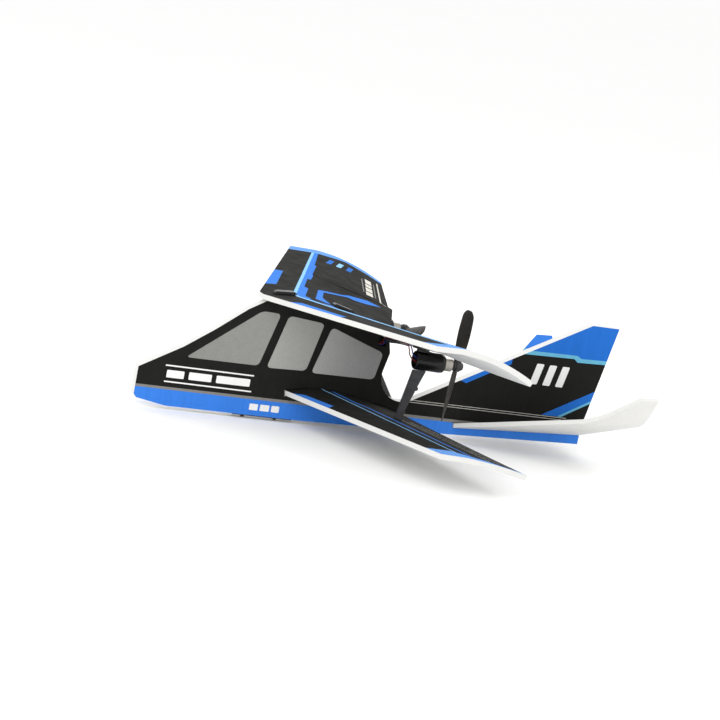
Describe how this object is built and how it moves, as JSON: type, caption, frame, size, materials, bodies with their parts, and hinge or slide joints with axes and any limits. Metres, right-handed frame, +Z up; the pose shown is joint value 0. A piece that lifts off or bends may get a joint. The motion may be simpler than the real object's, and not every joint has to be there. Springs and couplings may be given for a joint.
{
  "type": "rc glider",
  "caption": "Foam-sheet biplane glider with a flat side-view fuselage, swept cambered wings, a V-shaped tail and two pusher propellers on pods under the upper wing.",
  "frame": {"origin": "bottom centre of the whole glider's box, with the fuselage level", "axes": "+X from the nose to the tail, +Y to the starboard wing tip (the nose points to -X), +Z up"},
  "size_m": [0.2689, 0.2504, 0.0808],
  "materials": {
    "foam": "printed foam sheet, satin film",
    "black_plastic": "moulded",
    "board_green": "solder mask",
    "chip_black": "moulded",
    "cell_silver": "foil pouch",
    "switch_metal": "pressed sheet",
    "motor_steel": "polished",
    "cap_white": "moulded",
    "red_wire": "insulation",
    "blue_wire": "insulation",
    "black_tape": "tape"
  },
  "bodies": {
    "airframe": {"fuselage_board": "foam", "upper_wing": "foam", "lower_wing": "foam", "tailplane": "foam", "wing_clip_front": "black_plastic", "wing_clip_rear": "black_plastic", "strut_left": "black_plastic", "strut_right": "black_plastic", "strut_foot_left": "black_plastic", "strut_foot_right": "black_plastic", "motor_pod_left": "black_plastic", "motor_pod_right": "black_plastic", "motor_can_left": "motor_steel", "motor_can_right": "motor_steel", "motor_end_cap_left": "cap_white", "motor_end_cap_right": "cap_white", "motor_wire_red_left": "red_wire", "motor_wire_red_right": "red_wire", "motor_wire_blue_left": "blue_wire", "motor_wire_blue_right": "blue_wire", "wire_tape_left": "black_tape", "wire_tape_right": "black_tape", "belly_plate": "black_plastic", "belly_peg": "black_plastic", "switch_body": "switch_metal", "charge_socket": "switch_metal", "charge_tongue": "chip_black", "circuit_board": "board_green", "radio_chip": "chip_black", "motor_driver_chip": "chip_black", "battery_cell": "cell_silver"},
    "left_rotor": {"propeller_left": "black_plastic", "motor_shaft_left": "motor_steel"},
    "right_rotor": {"propeller_right": "black_plastic", "motor_shaft_right": "motor_steel"},
    "power_switch": {"power_switch_knob": "black_plastic"}
  },
  "joints": [
    {"name": "left_propeller_spin", "type": "hinge", "parent": "airframe", "child": "left_rotor", "pos_m": [0.0237, -0.0423, 0.05], "axis": [0.9996, 0, -0.0279], "continuous": true},
    {"name": "right_propeller_spin", "type": "hinge", "parent": "airframe", "child": "right_rotor", "pos_m": [0.0237, 0.0423, 0.05], "axis": [0.9996, 0, -0.0279], "continuous": true},
    {"name": "power_switch_slide", "type": "slide", "parent": "airframe", "child": "power_switch", "axis": [1, 0, 0], "range_m": [0, 0.002]}
  ]
}
